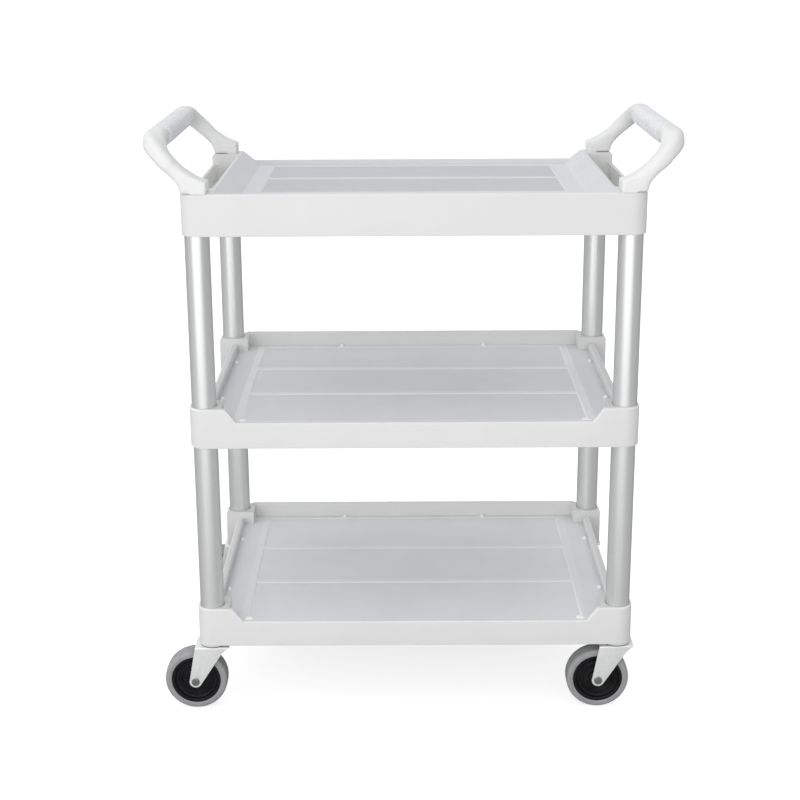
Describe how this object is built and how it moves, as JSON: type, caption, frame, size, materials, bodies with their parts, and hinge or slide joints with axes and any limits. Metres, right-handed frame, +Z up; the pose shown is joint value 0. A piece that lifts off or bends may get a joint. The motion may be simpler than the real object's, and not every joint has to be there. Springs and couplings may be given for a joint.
{
  "type": "food service trolley",
  "caption": "Wheeled service trolley with moulded tray shelves on metal uprights, push handles at both ends and swivel casters.",
  "frame": {"origin": "centre of the trolley's plan at floor level", "axes": "+Z up, +X to the right between the two end handles, front with the open shelf edge faces -Y"},
  "size_m": [0.819, 0.473, 0.941],
  "materials": {
    "white_plastic": "fine satin moulded",
    "grip_plastic": "ribbed soft satin",
    "aluminium_tube": "brushed anodised",
    "zinc_steel": "bright zinc plated",
    "bearing_steel": "polished",
    "grey_tyre": "matte non-marking",
    "black_hub": "satin moulded"
  },
  "bodies": {
    "frame": {"bottom_shelf": "white_plastic", "middle_shelf": "white_plastic", "top_shelf": "white_plastic", "deck_plugs": "white_plastic", "rim_plugs": "white_plastic", "handle_screws": "zinc_steel", "handle_left": "white_plastic", "handle_right": "white_plastic", "grip_left": "grip_plastic", "grip_right": "grip_plastic", "lower_upright_front_left": "aluminium_tube", "upper_upright_front_left": "aluminium_tube", "lower_upright_front_right": "aluminium_tube", "upper_upright_front_right": "aluminium_tube", "lower_upright_rear_left": "aluminium_tube", "upper_upright_rear_left": "aluminium_tube", "lower_upright_rear_right": "aluminium_tube", "upper_upright_rear_right": "aluminium_tube", "caster_front_left_sleeve": "zinc_steel", "caster_front_left_stem": "zinc_steel", "caster_front_left_ball_cage": "bearing_steel", "caster_front_right_sleeve": "zinc_steel", "caster_front_right_stem": "zinc_steel", "caster_front_right_ball_cage": "bearing_steel", "caster_rear_left_sleeve": "zinc_steel", "caster_rear_left_stem": "zinc_steel", "caster_rear_left_ball_cage": "bearing_steel", "caster_rear_right_sleeve": "zinc_steel", "caster_rear_right_stem": "zinc_steel", "caster_rear_right_ball_cage": "bearing_steel"},
    "fork_front_left": {"caster_front_left_race": "zinc_steel", "caster_front_left_fork": "zinc_steel", "caster_front_left_axle": "zinc_steel", "caster_front_left_axle_nut": "zinc_steel"},
    "wheel_front_left": {"caster_front_left_tyre": "grey_tyre", "caster_front_left_hub": "black_hub", "caster_front_left_bushing": "bearing_steel"},
    "fork_front_right": {"caster_front_right_race": "zinc_steel", "caster_front_right_fork": "zinc_steel", "caster_front_right_axle": "zinc_steel", "caster_front_right_axle_nut": "zinc_steel"},
    "wheel_front_right": {"caster_front_right_tyre": "grey_tyre", "caster_front_right_hub": "black_hub", "caster_front_right_bushing": "bearing_steel"},
    "fork_rear_left": {"caster_rear_left_race": "zinc_steel", "caster_rear_left_fork": "zinc_steel", "caster_rear_left_axle": "zinc_steel", "caster_rear_left_axle_nut": "zinc_steel"},
    "wheel_rear_left": {"caster_rear_left_tyre": "grey_tyre", "caster_rear_left_hub": "black_hub", "caster_rear_left_bushing": "bearing_steel"},
    "fork_rear_right": {"caster_rear_right_race": "zinc_steel", "caster_rear_right_fork": "zinc_steel", "caster_rear_right_axle": "zinc_steel", "caster_rear_right_axle_nut": "zinc_steel"},
    "wheel_rear_right": {"caster_rear_right_tyre": "grey_tyre", "caster_rear_right_hub": "black_hub", "caster_rear_right_bushing": "bearing_steel"}
  },
  "joints": [
    {"name": "swivel_front_left", "type": "hinge", "parent": "frame", "child": "fork_front_left", "pos_m": [-0.328, -0.2125, 0.11], "axis": [0, 0, 1], "continuous": true},
    {"name": "roll_front_left", "type": "hinge", "parent": "fork_front_left", "child": "wheel_front_left", "pos_m": [-0.358, -0.2125, 0.0508], "axis": [0, 1, 0], "continuous": true},
    {"name": "swivel_front_right", "type": "hinge", "parent": "frame", "child": "fork_front_right", "pos_m": [0.328, -0.2125, 0.11], "axis": [0, 0, 1], "continuous": true},
    {"name": "roll_front_right", "type": "hinge", "parent": "fork_front_right", "child": "wheel_front_right", "pos_m": [0.298, -0.2125, 0.0508], "axis": [0, 1, 0], "continuous": true},
    {"name": "swivel_rear_left", "type": "hinge", "parent": "frame", "child": "fork_rear_left", "pos_m": [-0.328, 0.2125, 0.11], "axis": [0, 0, 1], "continuous": true},
    {"name": "roll_rear_left", "type": "hinge", "parent": "fork_rear_left", "child": "wheel_rear_left", "pos_m": [-0.358, 0.2125, 0.0508], "axis": [0, 1, 0], "continuous": true},
    {"name": "swivel_rear_right", "type": "hinge", "parent": "frame", "child": "fork_rear_right", "pos_m": [0.328, 0.2125, 0.11], "axis": [0, 0, 1], "continuous": true},
    {"name": "roll_rear_right", "type": "hinge", "parent": "fork_rear_right", "child": "wheel_rear_right", "pos_m": [0.298, 0.2125, 0.0508], "axis": [0, 1, 0], "continuous": true}
  ]
}
